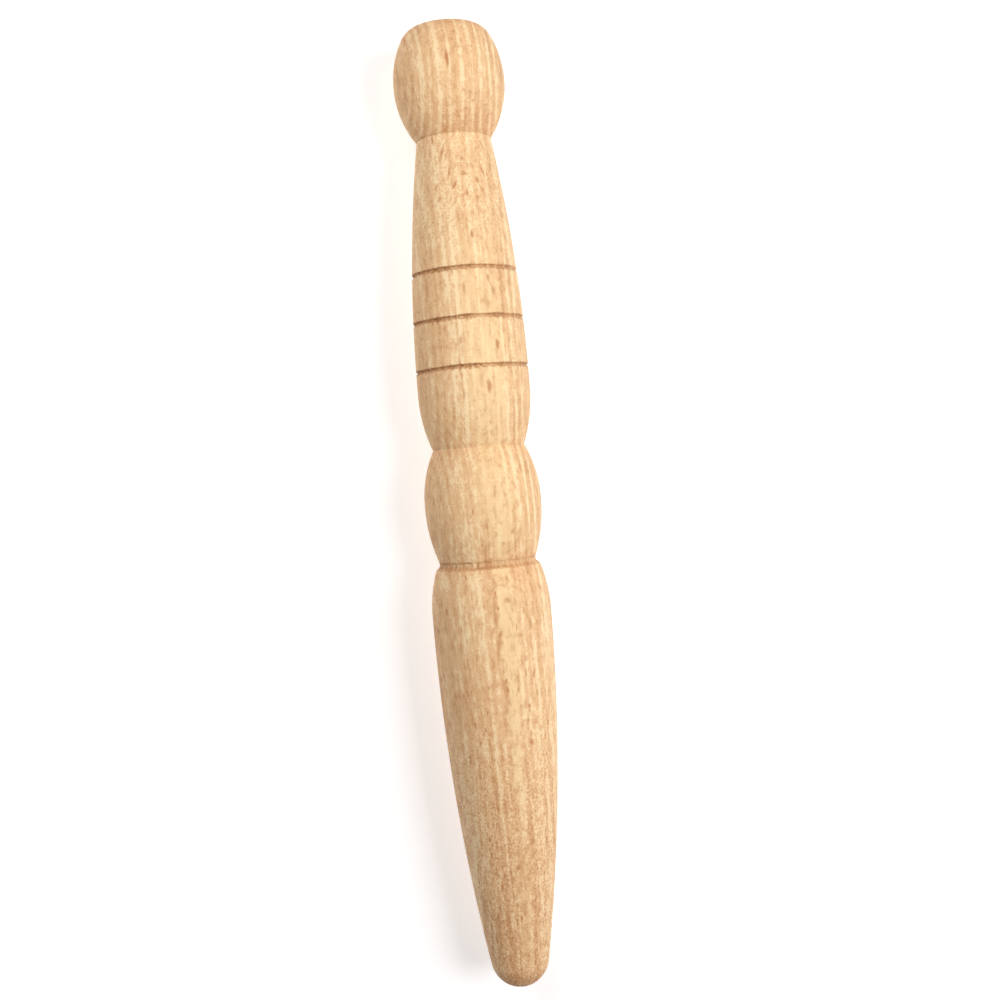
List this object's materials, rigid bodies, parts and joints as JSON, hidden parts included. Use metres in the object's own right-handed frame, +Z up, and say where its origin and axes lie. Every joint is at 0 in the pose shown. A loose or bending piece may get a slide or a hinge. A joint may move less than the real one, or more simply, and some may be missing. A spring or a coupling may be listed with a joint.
{
  "type": "wooden massage stick",
  "caption": "Turned beech massage stick: domed round head on a neck, flaring barrel with scored rings, waisted grip and a long taper to a blunt rounded point.",
  "frame": {"origin": "on the turning axis, at half the stick's length", "axes": "+X along the turning axis towards the round head, with the pointed end at -X; +Z up as the stick lies on its side"},
  "size_m": [0.18, 0.0222, 0.0222],
  "materials": {
    "beech": "sanded, unvarnished, matt"
  },
  "bodies": {
    "root": {"massage_stick": "beech"}
  },
  "joints": []
}
